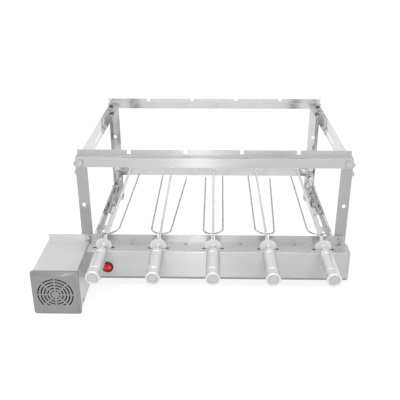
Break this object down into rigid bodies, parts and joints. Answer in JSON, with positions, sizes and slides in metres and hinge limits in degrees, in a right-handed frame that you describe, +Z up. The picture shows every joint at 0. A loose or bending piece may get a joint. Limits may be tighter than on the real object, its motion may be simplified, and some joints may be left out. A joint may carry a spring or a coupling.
{
  "type": "electric skewer grill",
  "caption": "Stainless frame that stands over a charcoal tray, with a motor bar that turns geared fork skewers by one worm shaft and rests above for plain skewers.",
  "frame": {"origin": "centre of the whole object's box, on the surface that the feet stand on", "axes": "+X to the right along the motor bar, +Y from the grips to the rods' tips, +Z up"},
  "size_m": [0.6716, 0.641, 0.305],
  "materials": {
    "stainless_sheet": "brushed stainless sheet, folded",
    "stainless_angle": "brushed stainless angle",
    "box_sheet": "satin stainless sheet",
    "box_cover_sheet": "brushed stainless sheet, pressed",
    "plated_steel": "bright zinc plate",
    "plain_steel": "machined steel",
    "sintered_bronze": "sintered bronze",
    "black_nylon": "moulded, fine grain",
    "red_polycarbonate": "moulded, translucent gloss",
    "stainless_rod": "drawn stainless rod",
    "gear_steel": "bright machined steel",
    "grip_aluminium": "turned, satin anodised"
  },
  "bodies": {
    "frame_front": {"motor_bar_shell": "stainless_sheet", "motor_bar_base_cover": "stainless_sheet", "motor_bar_end_cap": "stainless_sheet", "bearing_brackets": "plain_steel", "bearing_bushes": "sintered_bronze", "case_screws": "plated_steel", "switch_housing": "black_nylon", "motor_box_shell": "box_sheet", "motor_box_base": "box_sheet", "motor_box_front_cover": "box_cover_sheet", "gear_motor": "plain_steel", "motor_plate": "plain_steel", "fan_frame": "black_nylon", "cord_gland": "black_nylon", "front_leg_left": "stainless_angle", "front_leg_right": "stainless_angle", "upper_front_bar": "stainless_sheet", "upper_rail_front_left": "stainless_sheet", "upper_rail_front_right": "stainless_sheet", "lower_rail_front_left": "stainless_sheet", "lower_rail_front_right": "stainless_sheet", "front_bolts": "plated_steel", "front_nuts": "plated_steel"},
    "frame_rear": {"rear_leg_left": "stainless_angle", "rear_leg_right": "stainless_angle", "upper_rear_bar": "stainless_sheet", "lower_rear_bar": "stainless_sheet", "upper_rail_rear_left": "stainless_sheet", "upper_rail_rear_right": "stainless_sheet", "lower_rail_rear_left": "stainless_sheet", "lower_rail_rear_right": "stainless_sheet", "rear_bolts": "plated_steel", "rear_nuts": "plated_steel", "wing_nuts": "plated_steel"},
    "drive_train": {"motor_output_shaft": "plain_steel", "shaft_coupling": "plain_steel", "drive_shaft": "plain_steel", "drive_worms": "plain_steel"},
    "fan": {"fan_rotor": "black_nylon"},
    "rocker": {"switch_rocker": "red_polycarbonate"},
    "skewer_1": {"skewer_1_rod": "stainless_rod", "skewer_1_fork": "stainless_rod", "skewer_1_gear": "gear_steel", "skewer_1_grip": "grip_aluminium"},
    "skewer_2": {"skewer_2_rod": "stainless_rod", "skewer_2_fork": "stainless_rod", "skewer_2_gear": "gear_steel", "skewer_2_grip": "grip_aluminium"},
    "skewer_3": {"skewer_3_rod": "stainless_rod", "skewer_3_fork": "stainless_rod", "skewer_3_gear": "gear_steel", "skewer_3_grip": "grip_aluminium"},
    "skewer_4": {"skewer_4_rod": "stainless_rod", "skewer_4_fork": "stainless_rod", "skewer_4_gear": "gear_steel", "skewer_4_grip": "grip_aluminium"},
    "skewer_5": {"skewer_5_rod": "stainless_rod", "skewer_5_fork": "stainless_rod", "skewer_5_gear": "gear_steel", "skewer_5_grip": "grip_aluminium"}
  },
  "joints": [
    {"name": "depth_adjust", "type": "slide", "parent": "frame_front", "child": "frame_rear", "axis": [0, 1, 0], "range_m": [-0.025, 0.035]},
    {"name": "skewer_1_spin", "type": "hinge", "parent": "frame_front", "child": "skewer_1", "pos_m": [-0.20425, -0.1845, 0.099], "axis": [0, 1, 0], "continuous": true},
    {"name": "skewer_2_spin", "type": "hinge", "parent": "frame_front", "child": "skewer_2", "pos_m": [-0.08425, -0.1845, 0.099], "axis": [0, 1, 0], "continuous": true},
    {"name": "skewer_3_spin", "type": "hinge", "parent": "frame_front", "child": "skewer_3", "pos_m": [0.03575, -0.1845, 0.099], "axis": [0, 1, 0], "continuous": true},
    {"name": "skewer_4_spin", "type": "hinge", "parent": "frame_front", "child": "skewer_4", "pos_m": [0.15575, -0.1845, 0.099], "axis": [0, 1, 0], "continuous": true},
    {"name": "skewer_5_spin", "type": "hinge", "parent": "frame_front", "child": "skewer_5", "pos_m": [0.27575, -0.1845, 0.099], "axis": [0, 1, 0], "continuous": true},
    {"name": "drive_shaft_spin", "type": "hinge", "parent": "frame_front", "child": "drive_train", "pos_m": [0.03575, -0.1845, 0.0742], "axis": [1, 0, 0], "continuous": true},
    {"name": "fan_spin", "type": "hinge", "parent": "frame_front", "child": "fan", "pos_m": [-0.28625, -0.289, 0.05], "axis": [0, 1, 0], "continuous": true},
    {"name": "switch_rock", "type": "hinge", "parent": "frame_front", "child": "rocker", "pos_m": [-0.19615, -0.2024, 0.0537], "axis": [0, 0, 1], "range_deg": [-14, 0]}
  ],
  "couplings": [
    {"joint": "drive_shaft_spin", "follows": "skewer_3_spin", "ratio": 24},
    {"joint": "skewer_1_spin", "follows": "skewer_3_spin", "ratio": 1},
    {"joint": "skewer_2_spin", "follows": "skewer_3_spin", "ratio": 1},
    {"joint": "skewer_4_spin", "follows": "skewer_3_spin", "ratio": 1},
    {"joint": "skewer_5_spin", "follows": "skewer_3_spin", "ratio": 1}
  ]
}
